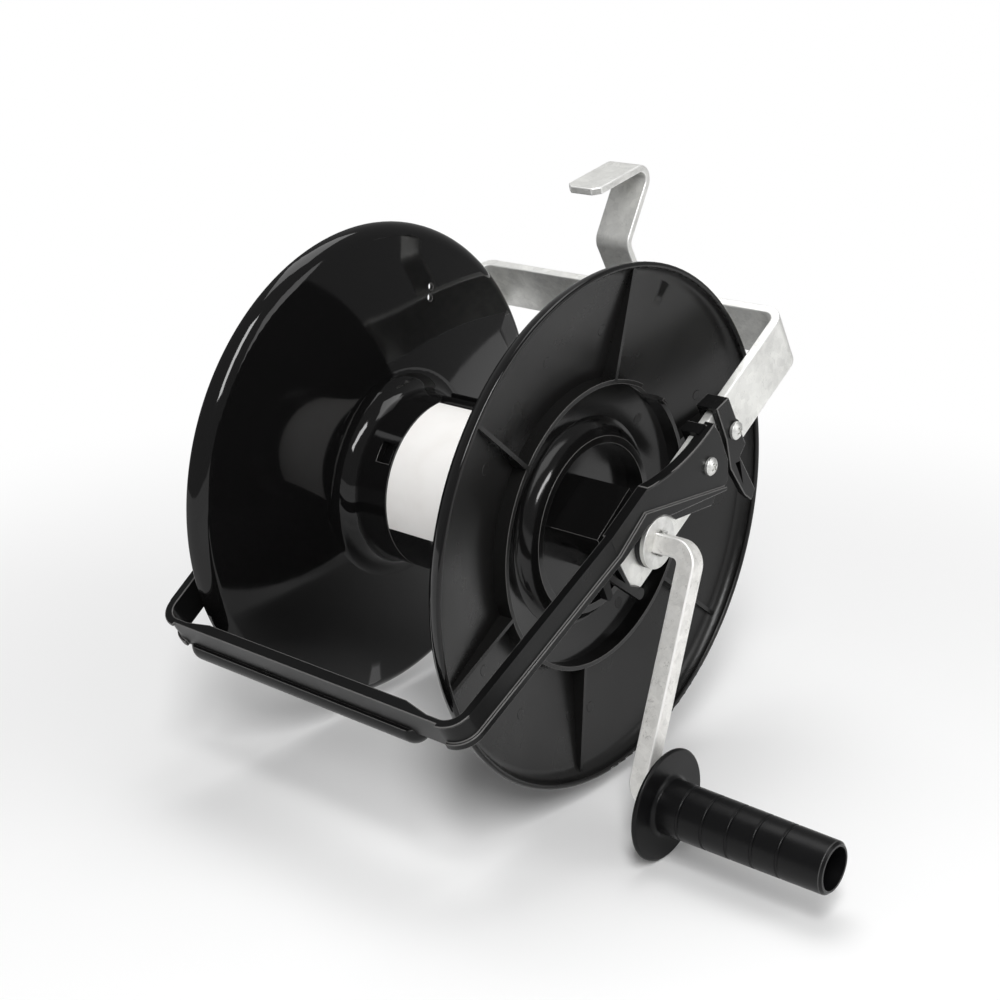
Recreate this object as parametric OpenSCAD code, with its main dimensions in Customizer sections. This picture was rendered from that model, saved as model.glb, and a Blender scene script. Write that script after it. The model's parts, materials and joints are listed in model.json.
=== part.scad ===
// Hand-cranked reel for electric fence line, hung by its hook.
// +X runs along the axle to the crank, -Y to the carrying handle, +Z up.
// The origin is on the underside of the hook's tongue, where the reel hangs.

/* [Reel] */
// Outer diameter of the flanges
flange_d = 270; // [250:2:290]
// Width over the rolled lips of both flanges
lip_width = 167; // [155:1:175]
// Clear width between the flange webs, where the line winds
winding_width = 118; // [100:1:126]
// Outer diameter of the drum
drum_d = 93; // [86:1:100]
// Wall of the drum
drum_wall = 4; // [3:0.1:5]
// Wall of the flanges
flange_wall = 2.5; // [2:0.1:3.5]
// Radius of the rolled rim on the winding side
roll_r = 9.5; // [7:0.5:14]
// Diameter of the bead along each lip
lip_bead = 3; // [2.6:0.1:5]
// Radius of the flare between drum and web, on the winding side
flare_r = 12; // [6:0.5:16]
// Radius of the trumpet that leads out of the web into the hub's collar
collar_r = 8.5; // [6:0.5:12]
// Distance from the reel's middle to the seam between its halves
seam_offset = 30; // [24:1:36]
// Number of ribs on a flange's outer face
rib_count = 6; // [4:1:8]
// Thickness of a rib
rib_t = 2.2; // [1.5:0.1:3]
// Depth of the stop ring's face below the lip
ring_set = 8.5; // [6:0.5:11]
// Depth of the ribs' outer ends below the lip
rib_set = 4; // [2:0.5:6]
// Angle of the first rib, from the back towards the top
rib_angle = 82; // [60:1:90]
// Outer radius of the stop ring
ring_r = 75.5; // [70:0.5:80]
// Wall of the stop ring
ring_t = 2.4; // [1.6:0.1:4]
// Angle at which the stop ring's gap begins
gap_angle = 50; // [40:1:60]
// Angle that the gap takes
gap_span = 13; // [8:1:20]
// Length of the lug beside the gap
lug_l = 5; // [3:0.5:8]
// Step of the lug in from the ring's faces
lug_set = 0.4; // [0.3:0.1:0.6]
// Height of the lug beside the gap, above the ring
lug_rise = 3; // [1:0.5:5]

/* [Hub] */
// Width over the two hub bosses
boss_width = 180; // [172:1:190]
// Side of a square hub boss
boss_side = 33; // [28:1:38]
// Wall of a hub boss and of its socket
boss_wall = 3; // [2:0.1:4]
// Angle of a boss face, from the back towards the top
boss_angle = 37.5; // [0:0.5:89]
// Width of a snap tongue
tongue_w = 11; // [8:0.5:16]
// Thickness of a snap tongue
tongue_t = 2; // [1.5:0.1:3]
// Length of a snap tongue inside its own drum half
tongue_root = 9; // [6:0.5:12]
// Distance from the seam to the snap windows
snap_in = 2; // [1.5:0.1:4]
// Length of a snap window along the drum
window_l = 9; // [7:0.5:12]
// Angle of the first snap window
window_angle = 146; // [120:1:170]
// Diameter of the holes that tie the line to the reel
tie_d = 4; // [3:0.1:5]
// Angle of the outer pair of tie holes
tie_angle = 70; // [62:1:78]
// Angle of the first tie hole beside the drum
tie_in_angle = 40; // [30:1:50]
// Angle between the two tie holes beside the drum
tie_in_step = 14; // [10:1:20]
// Distance between the outer tie holes
tie_pitch = 6; // [5:0.5:8]
// Angle of the channel that takes the first turn of line
channel_angle = 88; // [86:1:90]
// Clear width of that channel
channel_w = 6; // [4:0.5:8]
// Height of that channel's walls above the drum
channel_h = 3.5; // [2:0.1:5]
// Thickness of that channel's walls
channel_t = 2; // [1.5:0.1:3]
// Distance of the outer pair of tie holes from the axle
tie_r = 100; // [90:1:106]

/* [Label] */
// Width of the bare label along the drum
label_w = 60; // [40:1:70]
// Angle that the label takes round the drum
label_span = 100; // [60:1:110]
// Angle at which the label begins
label_angle = 95.5; // [94:0.5:110]
// Thickness of the label
label_t = 0.35; // [0.2:0.05:0.6]

/* [Steel frame] */
// Width of the flat bar
bar_w = 33; // [28:1:36]
// Thickness of the flat bar
bar_t = 5; // [4:0.5:6]
// Inner radius of its bends
bar_bend = 6; // [4:0.5:10]
// Slope of the legs, up to the back
leg_angle = 32; // [20:1:40]
// Distance from the axle to the inner face of the rear bar
rear_reach = 148; // [146:1:160]
// Length of the legs past the axle
leg_tail = 23.5; // [20:0.5:28]
// Corner clipped off each leg's end
leg_clip = 6; // [3:0.5:9]
// Width of the hook's flat bar
hook_w = 22; // [18:1:28]
// Thickness of the hook's flat bar
hook_t = 4; // [3:0.5:6]
// Inner radius of the hook's bends
hook_bend = 5; // [4:0.5:8]
// Length of the hook that is welded to the rear bar
hook_lap = 24; // [16:1:28]
// Straight length of the hook from the lap's foot to its knee
hook_rise = 47; // [42:1:56]
// Straight length of the hook between its knee and its top bend
hook_back = 30; // [20:1:40]
// Straight length of the hook's tongue
tongue_reach = 39; // [30:1:45]
// Corner clipped off the tongue's end
tongue_clip = 4; // [2:0.5:6]
// Turn of the knee
knee_turn = 60; // [50:1:75]
// Turn of the top bend
top_turn = 130; // [120:1:150]

/* [Handle] */
// Reach of the handle in front of the axle, along the legs
handle_reach = 148; // [146:1:160]
// Height of an arm's middle above the leg's middle line
arm_rise = 24; // [24:0.5:28]
// Height of the arms and of the crossbar
arm_w = 18; // [16:0.5:20]
// Depth of the crossbar's channel
arm_depth = 6; // [5.5:0.5:9]
// Run over which the channel's flanges taper out towards the corners
flange_run = 22; // [15:1:40]
// Height of the lip along the arm's lower edge
arm_lip_w = 4; // [3:0.5:8]
// Height of the rim along the upper edge of the arms and brackets
arm_rim_w = 1.4; // [1:0.1:2.5]
// Distance that the lip and the rim stand out of the arm
arm_lip_t = 1.5; // [1:0.1:3]
// Wall of the arms and of the crossbar
handle_wall = 3; // [2:0.1:3.5]
// Thickness of the bracket plates
plate_t = 4.5; // [3:0.1:6]
// Radius of the hollow curve along a bracket's upper edge
dip_r = 112; // [100:1:130]
// Thickness of the skirt below the ledge
skirt_t = 2; // [1.5:0.1:3]
// Height of the ledge's edge
ledge_h = 2; // [1.5:0.1:3]
// Thickness of the prongs under an arm
prong_t = 4; // [3:0.1:5]
// Radius of the strut's end
prong_r = 3; // [2:0.1:4]
// Radius of the short finger's end
finger_end_r = 2.2; // [1.5:0.1:3]
// Width of the clasp over a leg's upper edge
clasp_w = 7; // [5:0.5:10]
// Thickness of the clasp above the leg
clasp_h = 3; // [2.6:0.1:4]
// Reach of a clasp behind the leg's inner face
clasp_t = 3.5; // [3:0.1:5]
// Lean of each arm towards the other, to the front
arm_taper = 4.2; // [0:0.1:6]
// Outer radius of the handle's corners
handle_bend = 12; // [9:0.5:20]
// Length of the finger grip on the crossbar
finger_l = 160; // [140:1:166]
// Distance of the finger grip's middle from the crossbar's middle
finger_shift = 9; // [0:1:9]
// Radius of the finger grip's swell
finger_r = 8; // [7:0.5:10]
// Depth of the swell's middle behind the crossbar's outer face
finger_in = 4.5; // [3:0.5:5.5]
// Depth of the swell's middle below the crossbar's lower edge
finger_low = 2.8; // [1:0.1:4]
// Height of the swell's flat ledge above the swell's middle
finger_ledge = 5; // [4:0.1:6]
// Depth that the swell's round ends are cut flat
finger_tip_cut = 0.6; // [0.3:0.1:2]
// Distance of the handle screws from the axle
handle_screw_at = 53; // [48:1:58]

/* [Lock lever] */
// Distance of the lever's pivot from the axle
lever_at = 79; // [76:1:84]
// Width of the lever
lever_w = 11; // [10:0.5:14]
// Thickness of the lever
lever_t = 4; // [3:0.1:5]
// Length of the tail below the pivot
lever_tail = 48; // [42:1:56]
// Thickness of the lever's lid over the leg
lid_t = 2.5; // [2:0.1:4]
// Turn of the lever from free to locked
lever_turn = 10; // [5:1:14]
// Diameter of the sleeve that the lever turns on
sleeve_d = 8; // [7:0.5:10]

/* [Crank] */
// Side of the square crank bar
crank_side = 10; // [8:0.5:12]
// Inner radius of the crank's bends
crank_bend = 3; // [2:0.5:8]
// Distance from the axle to the grip's pin
crank_r = 122.5; // [100:0.5:140]
// Distance from the right leg to the middle of the crank's arm
crank_stand = 25.5; // [24:0.5:34]
// Distance from the middle of the crank's arm to the grip
grip_stand = 14.5; // [14:0.5:20]
// Lean of the hanging crank towards the handle
crank_lean = 18.5; // [0:0.5:30]
// Diameter of the grip's pin
grip_pin_d = 9; // [7:0.5:9.5]
// Length of the crank grip
grip_l = 94; // [88:1:110]
// Diameter of the grip beside its guard
grip_d = 28; // [24:0.5:30]
// Diameter of the grip's open end
grip_end_d = 26; // [22:0.5:28]
// Diameter of the grip's guard
guard_d = 57; // [45:1:65]
// Thickness of the guard
guard_t = 2.6; // [2:0.1:4]
// Number of grooves round the grip
groove_count = 5; // [3:1:6]
// Distance between the grooves
groove_pitch = 13.6; // [10:0.1:14]
// Length of the grip that bears on the pin
grip_bearing = 48; // [36:1:56]

/* [Axle] */
// Diameter of the bushes that turn in the legs
bush_d = 20; // [18:0.5:22]
// Thickness of a bush's flange
bush_flange_t = 3; // [2:0.1:4]
// Diameter of the axle washers and bush flanges
washer_d = 27; // [25:0.5:30]
// Thickness of an axle washer
washer_t = 2.5; // [1.5:0.1:3]
// Length of the spacers between the bosses and the legs
spacer_l = 9.6; // [6:0.1:12]
// Diameter of the spring pins that hold the washers
spring_pin_d = 3; // [2.5:0.1:4]
// Length of the spring pins
spring_pin_l = 13; // [12:0.5:18]

/* [Screws] */
// Diameter of the screws' shanks
screw_d = 5; // [4:0.1:6]
// Diameter of the screws' heads
head_d = 9.6; // [8:0.1:12]
// Height of the screws' heads
head_h = 3.6; // [2.5:0.1:4.5]
// Width of the nuts across their flats
nut_flats = 8; // [7:0.1:10]
// Height of the nuts
nut_h = 5; // [3.5:0.1:6]

/* [Fits] */
// Radial clearance of a running fit
run_gap = 0.05; // [0.02:0.01:0.1]
// Clearance of a loose fit
loose_gap = 0.15; // [0.1:0.05:0.3]
// End play between pieces that turn past each other
end_play = 0.4; // [0.3:0.1:0.8]

/* [Hidden] */
$fn = 96;

// Reel, measured from the middle of the drum
flange_r = flange_d / 2;
drum_r = drum_d / 2;
web_in = winding_width / 2;
lip_h = lip_width / 2;
roll_at = flange_r - roll_r;
ring_face = lip_h - ring_set;
boss_h = boss_width / 2;
socket = crank_side + 2 * loose_gap;
rib_step = 360 / rib_count;
hub_foot = web_in + flange_wall / 2;

// The web is a shallow cone from the drum to the rolled rim
web_rise = lip_h - web_in;
web_run = roll_at - drum_r;
web_slope = acos(roll_r / norm([web_rise, web_run])) - atan2(web_run, web_rise);
web_skin = flange_wall / cos(web_slope);
function web_h(r) = web_in + (r - drum_r) * tan(web_slope);
roll_start = [roll_at + roll_r * sin(web_slope), lip_h - roll_r * cos(web_slope)];
flare_at = [drum_r + flare_r, web_h(drum_r + flare_r) - flare_r / cos(web_slope)];
collar_at = [drum_r + collar_r, web_h(drum_r + collar_r) + web_skin + collar_r / cos(web_slope)];
collar_h = collar_at[1];

// Stations along the axle, measured from the reel's middle
leg_in = boss_h + spacer_l + end_play;
leg_out = leg_in + bar_t;
bush_face = leg_out + end_play + bush_flange_t;
washer_face = bush_face + washer_t;
spring_pin_x = washer_face + spring_pin_d / 2 + loose_gap;
axle_end = spring_pin_x + spring_pin_d / 2 + 5;
arm_x = leg_out + crank_stand;
crank_turn_r = crank_bend + crank_side / 2;
grip_x = arm_x + grip_stand;
pin_end = grip_x + grip_bearing + 5;

// Legs and handle, in the slope's own directions
bar_half = bar_w / 2;
rear_out = rear_reach + bar_t;
arm_top = arm_rise + arm_w / 2;
arm_low = arm_rise - arm_w / 2;
handle_x = leg_out + plate_t;
arm_join = leg_tail + 1;
handle_turn = 90 - arm_taper;
corner_steps = 12;
facet_angle = 5;
corner_ease = handle_bend * tan(handle_turn / 2);
crossbar_l = 2 * (handle_x - (handle_reach - arm_join) * tan(arm_taper) - corner_ease);
plate_end = lever_at - 10.6;
ledge_root = [0, 22];
ledge_tip = [plate_end - 10, -20.8];
prong_tip = [-leg_tail + 2.3, -bar_half];
finger_tip = [-leg_tail - 16, 3];
dip_at = [plate_end - 6.4, bar_half + 2.1 + dip_r];
clasp_at = plate_end - 5 - clasp_w;
lever_x = leg_out + end_play;
lever_face = lever_x + lever_t;

// The hook as a walk along its inner side: headings from +Y towards +Z
function dir(h) = [cos(h), sin(h)];
h_lap = leg_angle + 90;
h_back = h_lap - knee_turn;
h_tongue = h_back + top_turn;
hook_foot = rear_out * dir(leg_angle) + (bar_half - hook_lap) * dir(h_lap);
knee_at = hook_foot + hook_rise * dir(h_lap);
knee_out = knee_at + (hook_t + hook_bend) * (dir(h_lap - 90) - dir(h_back - 90));
crown_at = knee_out + hook_back * dir(h_back);
crown_out = crown_at + hook_bend * (dir(h_back + 90) - dir(h_tongue + 90));
seat = crown_out + tongue_reach / 2 * dir(h_tongue);

// Shared forms
module seat_origin() translate([0, -seat[0], -seat[1]]) children();
module axial(x = 0) translate([x, 0, 0]) rotate([90, 0, 90]) children();
module sloped() rotate([leg_angle, 0, 0]) children();
module cranked() rotate([-crank_lean, 0, 0]) children();
module both_sides() { children(); mirror([1, 0, 0]) children(); }

// Flat strip bent on its way: straight runs, and turns that are positive to the left
module bent_strip(t, r, runs, turns, i = 0) {
    square([t, runs[i]]);
    if (i < len(turns)) {
        pivot = turns[i] > 0 ? -r : t + r;
        reach = 2 * (r + t);
        translate([pivot, runs[i]]) {
            intersection() {
                difference() { circle(r + t); circle(r); }
                translate([-reach, 0]) square([2 * reach, reach]);
                rotate(turns[i]) translate([-reach, -reach]) square([2 * reach, reach]);
            }
            rotate(turns[i]) translate([-pivot, 0]) bent_strip(t, r, runs, turns, i + 1);
        }
    }
}

// Straight band of a given thickness to the right of the way from p to q
module band(p, q, t) {
    way = q - p;
    translate(p) rotate(atan2(way[1], way[0])) translate([0, -t]) square([norm(way), t]);
}

// Concave fillet in the corner at the origin
module fillet(r) difference() { square(r); translate([r, r]) circle(r); }

// Concave fillet between the drum and the sloping web, round a circle that touches both
module web_fillet(centre, r) difference() {
    foot = web_h(drum_r) + web_skin / 2;
    touch = [centre[0], web_h(centre[0]) + web_skin / 2];
    polygon([[drum_r - drum_wall / 2, foot], touch, centre, [drum_r - drum_wall / 2, centre[1]]]);
    translate(centre) circle(r);
}

module pan_screw(grip) {
    difference() {
        intersection() {
            cylinder(d = head_d, h = head_h);
            translate([0, 0, head_h - head_d * 0.7]) sphere(head_d * 0.7);
        }
        for (turn = [0, 90]) rotate(turn)
            translate([-head_d * 0.26, -0.6, head_h - 1.6]) cube([head_d * 0.52, 1.2, 2]);
    }
    translate([0, 0, -grip]) cylinder(d = screw_d, h = grip + 0.5);
}

module lock_nut_form() {
    difference() {
        union() {
            cylinder(d = nut_flats / cos(30), h = nut_h * 0.7, $fn = 6);
            cylinder(d = nut_flats * 0.94, h = nut_h);
        }
        translate([0, 0, -1]) cylinder(d = screw_d + 2 * run_gap, h = nut_h + 2);
    }
}

// One moulded half of the reel, its web at the outer end and its drum from the seam outwards
module reel_half(seam, ring) {
    difference() {
        union() {
            rotate_extrude() {
                translate([0, web_in]) square([drum_r, flange_wall]);
                band(roll_start, [drum_r, web_in], flange_wall);
                translate([roll_at, lip_h]) intersection() {
                    difference() { circle(roll_r); circle(roll_r - flange_wall); }
                    translate([-roll_r, -2 * roll_r]) square(2 * roll_r);
                    rotate(web_slope) translate([0, -2 * roll_r]) square(3 * roll_r);
                }
                translate([flange_r - lip_bead / 2, lip_h]) circle(d = lip_bead);
                web_fillet(flare_at, flare_r);
                web_fillet(collar_at, collar_r);
                translate([drum_r - drum_wall, seam]) square([drum_wall, collar_h - seam]);
            }
            for (i = [0 : rib_count - 1]) rotate(rib_angle + i * rib_step) rib();
            stop_ring(ring);
            rotate(boss_angle) translate([-boss_side / 2, -boss_side / 2, hub_foot])
                cube([boss_side, boss_side, boss_h - hub_foot]);
        }
        rotate(boss_angle) boss_cavity();
        rotate(-crank_lean) translate([-socket / 2, -socket / 2, 0]) cube([socket, socket, boss_h + 1]);
    }
}

// Radial rib from the stop ring into the hollow of the rolled rim
module rib() {
    inner = ring_r - ring_t / 2;
    rotate([90, 0, 0]) linear_extrude(rib_t, center = true) intersection() {
        polygon([[inner, web_in], [inner, ring_face], [flange_r, lip_h - rib_set], [flange_r, web_in]]);
        union() {
            polygon([
                [inner, web_h(inner) + web_skin / 2], [roll_start[0], roll_start[1] + web_skin / 2],
                [roll_start[0], lip_h], [inner, lip_h]
            ]);
            translate([roll_at, lip_h]) circle(roll_r - flange_wall / 2);
        }
    }
}

// Ring that the lock lever works against: closed, or with a gap and a raised lug beside it
module stop_ring(open) {
    base = web_h(ring_r - ring_t) + web_skin / 2;
    gap_w = 2 * ring_r * sin(gap_span / 2);
    difference() {
        rotate_extrude() translate([ring_r - ring_t, base]) square([ring_t, ring_face - base]);
        if (open) rotate(gap_angle + gap_span / 2) translate([ring_r - 2 * ring_t, -gap_w / 2, base + flange_wall])
            cube([3 * ring_t, gap_w, lip_h - base]);
    }
    if (open) rotate(gap_angle) translate([ring_r - ring_t + lug_set, -lug_l - lug_set, ring_face - ring_t])
        cube([ring_t - 2 * lug_set, lug_l, ring_t + lug_rise]);
}

// Hollow of a boss, open to the drum, with a socket and four webs left standing
module boss_cavity() {
    inner = boss_side - 2 * boss_wall;
    core = socket + 2 * boss_wall + 3;
    translate([0, 0, web_in - 1]) linear_extrude(boss_h - boss_wall - web_in + 1) difference() {
        square(inner, center = true);
        square(core, center = true);
        square([inner + 1, rib_t], center = true);
        square([rib_t, inner + 1], center = true);
    }
}

// Snap tongue on the end of one drum half, with a barb for the other half's window
module snap_tongue() {
    root = drum_r - drum_wall;
    free = root - loose_gap;
    barb_at = -snap_in - loose_gap;
    barb_end = loose_gap - snap_in - window_l;
    tip = barb_end - tongue_t;
    intersection() {
        rotate_extrude() polygon([
            [root - tongue_t, tongue_root], [root + drum_wall / 2, tongue_root],
            [root + drum_wall / 2, tongue_t], [free, tongue_t], [free, barb_at], [drum_r - 1, barb_at],
            [free, barb_end], [free - tongue_t / 2, tip], [root - tongue_t, tip]
        ]);
        translate([0, -tongue_w / 2, tip - 1]) cube([flange_r, tongue_w, tongue_root - tip + 2]);
    }
}

// Sub-parts
module reel_half_right() color("#1b1b1c") axial() {
    tie_in = drum_r + tie_d / 2 + 1;
    difference() {
        union() {
            reel_half(-seam_offset + loose_gap, true);
            line_channel();
        }
        for (i = [0, 1]) rotate(tie_in_angle + i * tie_in_step) translate([tie_in, 0, web_in - flare_r - 1])
            cylinder(d = tie_d, h = 3 * flare_r + flange_wall);
    }
    for (i = [0 : 2]) rotate(window_angle + i * 120) translate([0, 0, -seam_offset]) snap_tongue();
}

// Two walls along the drum that pinch the first turn of line
module line_channel() rotate(channel_angle) for (side = [0, 1]) mirror([0, side])
    translate([drum_r - drum_wall / 2, channel_w / 2, 1 - seam_offset])
        cube([channel_h + drum_wall / 2, channel_t, seam_offset + web_in - 1 + flange_wall / 2]);

module reel_half_left() color("#1b1b1c") axial() mirror([0, 0, 1]) difference() {
    reel_half(seam_offset + loose_gap, false);
    for (i = [0 : 2]) rotate(window_angle + i * 120)
        translate([drum_r - 1.5 * drum_wall, -tongue_w / 2 - loose_gap, seam_offset + snap_in])
            cube([2 * drum_wall, tongue_w + 2 * loose_gap, window_l]);
    for (side = [-1, 1]) rotate(tie_angle) translate([tie_r + side * tie_pitch / 2, 0, web_in])
        cylinder(d = tie_d, h = lip_h - web_in);
}

module drum_label() color("white") axial(1 - seam_offset)
    rotate(label_angle) rotate_extrude(angle = label_span) translate([drum_r + loose_gap, 0]) square([label_t, label_w]);

module crank_bar() color("silver") cranked() difference() {
    union() {
        rotate([0, 0, -90]) rotate([0, 90, 0]) linear_extrude(crank_side, center = true)
            translate([-crank_side / 2, -axle_end]) bent_strip(crank_side, crank_bend,
                [axle_end + arm_x - crank_turn_r, crank_r - 2 * crank_turn_r, grip_stand - crank_turn_r - 0.5], [-90, 90]);
        axial(grip_x - 1) translate([0, -crank_r, 0]) cylinder(d = grip_pin_d, h = pin_end - grip_x + 1);
    }
    both_sides() translate([spring_pin_x, 0, 0])
        cylinder(d = spring_pin_d + 2 * run_gap, h = 2 * crank_side, center = true);
}

module square_bore(from, to) cranked() translate([from, -socket / 2, -socket / 2]) cube([to - from, socket, socket]);

module axle_spacers() color("#202022") difference() {
    both_sides() axial(boss_h) cylinder(d = bush_d + 3, h = spacer_l);
    square_bore(-leg_out, leg_out);
}

// Bush on the square bar: its barrel turns in the leg, its flange outside it
module bush_body() {
    axial(leg_in - end_play) cylinder(d = bush_d, h = bush_face - leg_in + end_play);
    axial(bush_face - bush_flange_t) cylinder(d = washer_d, h = bush_flange_t);
}

module axle_bush_right() color("#161617") difference() {
    bush_body();
    square_bore(0, bush_face + 1);
}
module axle_bush_left() color("#161617") difference() {
    mirror([1, 0, 0]) bush_body();
    square_bore(-bush_face - 1, 0);
}

module axle_washers() color("gainsboro") difference() {
    both_sides() axial(bush_face) cylinder(d = washer_d, h = washer_t);
    square_bore(-washer_face - 1, washer_face + 1);
}

module spring_pins() color("gray") cranked() both_sides() translate([spring_pin_x, 0, 0]) difference() {
    cylinder(d = spring_pin_d, h = spring_pin_l, center = true);
    cylinder(d = spring_pin_d / 2, h = spring_pin_l + 1, center = true);
}

module crank_grip() color("#18181a") cranked() axial(grip_x) translate([0, -crank_r, 0]) rotate_extrude()
    difference() {
        union() {
            polygon([[0, 0], [grip_d / 2, 0], [grip_end_d / 2, grip_l - 1.5], [grip_end_d / 2 - 1.5, grip_l], [0, grip_l]]);
            square([guard_d / 2 - guard_t / 2, guard_t]);
            translate([guard_d / 2 - guard_t / 2, guard_t / 2]) circle(d = guard_t);
            translate([grip_d / 2 - 0.3, guard_t]) fillet(3);
        }
        translate([-1, -1]) square([grip_pin_d / 2 + run_gap + 1, grip_l + 2]);
        translate([-1, grip_bearing]) square([grip_end_d / 2 - 1.5, grip_l]);
        for (i = [1 : groove_count]) translate([grip_groove_r(i), grip_groove_at(i)]) circle(r = 1, $fn = 24);
    }
function grip_groove_at(i) = guard_t + i * groove_pitch;
function grip_groove_r(i) = (grip_d + (grip_end_d - grip_d) * grip_groove_at(i) / grip_l) / 2 + 0.35;

module grip_retainer() color("silver") cranked() axial(grip_x + grip_bearing + end_play)
    translate([0, -crank_r, 0]) difference() {
        union() {
            cylinder(d = 17, h = 1.2);
            cylinder(d = grip_pin_d + 3, h = 3);
        }
        translate([0, 0, -1]) cylinder(d = grip_pin_d + 2 * run_gap, h = 6);
    }

module frame_bar() color("gainsboro") sloped() difference() {
    translate([0, 0, -bar_half]) linear_extrude(bar_w) translate([leg_out, -leg_tail]) mirror([1, 0])
        bent_strip(bar_t, bar_bend, frame_runs(), [-90, -90]);
    both_sides() {
        for (side = [-1, 1]) axial(leg_in - 1) translate([-leg_tail, side * bar_half]) rotate(45)
            cube([leg_clip * sqrt(2), leg_clip * sqrt(2), 2 * bar_t + 4], center = true);
        axial(leg_in - 1) cylinder(d = bush_d + 2 * run_gap, h = bar_t + 2);
        axial(leg_in - 1) translate([handle_screw_at, 0]) cylinder(d = screw_d + 2 * loose_gap, h = bar_t + 2);
    }
    axial(leg_in - 1) translate([lever_at, 0]) cylinder(d = screw_d + 2 * loose_gap, h = bar_t + 2);
}
function frame_runs() = [
    leg_tail + rear_out - bar_t - bar_bend,
    2 * (leg_in - bar_bend),
    leg_tail + rear_out - bar_t - bar_bend
];

module hanging_hook() color("gainsboro") axial(-hook_w / 2) difference() {
    linear_extrude(hook_w) polygon(concat(hook_side(0, hook_foot, h_lap), backwards(hook_side(1, hook_foot, h_lap))));
    for (edge = [0, hook_w]) translate([each seat + tongue_reach / 2 * dir(h_tongue), edge])
        rotate(h_tongue) rotate([90, 0, 0]) rotate(45)
            cube([tongue_clip * sqrt(2), tongue_clip * sqrt(2), 4 * hook_t], center = true);
}

// One side of the hook's bar from p along heading h: 0 is its left side, 1 its right side
function hook_side(side, p, h, i = 0) =
    let (
        run = [hook_rise, hook_back, tongue_reach][i], turn = [-knee_turn, top_turn, 0][i],
        end = p + run * dir(h), across = side * hook_t * dir(h - 90)
    )
    turn == 0 ? [p + across, end + across] :
    let (
        left = turn > 0, spoke = left ? h - 90 : h + 90, steps = ceil(abs(turn) / facet_angle),
        near = left ? hook_bend : hook_bend + hook_t, pivot = end - near * dir(spoke),
        r = hook_bend + hook_t * (left ? side : 1 - side)
    )
    concat(
        [p + across], [for (k = [0 : steps - 1]) pivot + r * dir(spoke + k * turn / steps)],
        hook_side(side, pivot + near * dir(spoke + turn), h + turn, i + 1)
    );

// Plan of the handle's right side at a distance from the corner's centre: from the leg to the crossbar
function handle_side(r) = concat(
    [[handle_x, -arm_join] + (r - handle_bend) * [cos(arm_taper), -sin(arm_taper)]],
    [for (i = [0 : corner_steps])
        [crossbar_l / 2, handle_bend - handle_reach] + r * dir(-arm_taper - i * handle_turn / corner_steps)]
);
function backwards(points) = [for (i = [len(points) - 1 : -1 : 0]) points[i]];
function mirrored(points) = [for (p = points) [-p[0], p[1]]];

// Wall of the handle with a lip along its arms and flanges, towards the reel, along its crossbar
module handle_channel() translate([0, 0, arm_low]) {
    outer = handle_side(handle_bend);
    inner = handle_side(handle_bend - handle_wall);
    linear_extrude(arm_w) polygon(concat(outer, backwards(mirrored(outer)), mirrored(inner), backwards(inner)));
    both_sides() for (run = [[0, arm_lip_w], [arm_w - arm_rim_w, arm_rim_w]])
        translate([0, 0, run[0]]) linear_extrude(run[1])
            polygon(concat(handle_side(handle_bend + arm_lip_t), backwards(handle_side(handle_bend - handle_wall / 2))));
    root = handle_wall / 2 - handle_reach;
    tip = arm_depth - handle_reach;
    for (b = [0, arm_w - handle_wall]) translate([0, 0, b]) linear_extrude(handle_wall) polygon([
        [-crossbar_l / 2, root], [crossbar_l / 2, root], [crossbar_l / 2 - flange_run, tip], [flange_run - crossbar_l / 2, tip]
    ]);
}

// Plate that carries the handle on a leg, with a rim above, and the ledge and the skirt below it
module bracket() {
    plate = [
        [-arm_join - 2, arm_low], [-arm_join - 2, arm_top], [plate_end - 6, arm_top], [plate_end, 9],
        [plate_end - 1, -10.5], [plate_end - 6, -20], ledge_tip, ledge_root, [-2, arm_low]
    ];
    axial(leg_out) linear_extrude(plate_t) polygon(plate);
    axial(leg_out) intersection() {
        linear_extrude(plate_t + arm_lip_t) polygon(plate);
        union() {
            translate([-arm_join - 4, arm_top - arm_rim_w, -1]) cube([bar_w, bar_w, 3 * plate_t]);
            translate([each dip_at, -1]) cylinder(r = dip_r + arm_rim_w, h = 3 * plate_t, $fn = 180);
        }
    }
    axial(leg_out) linear_extrude(plate_t + arm_lip_t) polygon([
        [-arm_join - 2, arm_low], [-arm_join - 2, arm_low + arm_lip_w], ledge_root, ledge_tip,
        ledge_tip - ledge_h * [0.45, 0.9], [-2, arm_low]
    ]);
    axial(leg_out) linear_extrude(skirt_t) polygon([[14, 8], [54, -22], [47, -24.5], [20, -6]]);
    axial(leg_out - prong_t / 2) linear_extrude(prong_t) prongs();
}

// Two prongs under the arm: an open strut that hooks round the leg's end, and a short finger
module prongs() {
    root = arm_low + 1;
    translate(prong_tip) circle(prong_r);
    polygon([[-28.5, root], [-25.5, root], [-24.6, -6], [-19.6, -12.6], prong_tip + [-2.6, 1.4], [-26.8, -4]]);
    polygon([[-37.5, root], [-34.5, root], prong_tip + [-0.6, 2.6], prong_tip + [-2.8, -0.9]]);
    translate(finger_tip) circle(finger_end_r);
    polygon([[-40.5, root], [-34.5, root], finger_tip + [finger_end_r, 0], finger_tip - [finger_end_r, 0]]);
}

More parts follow.
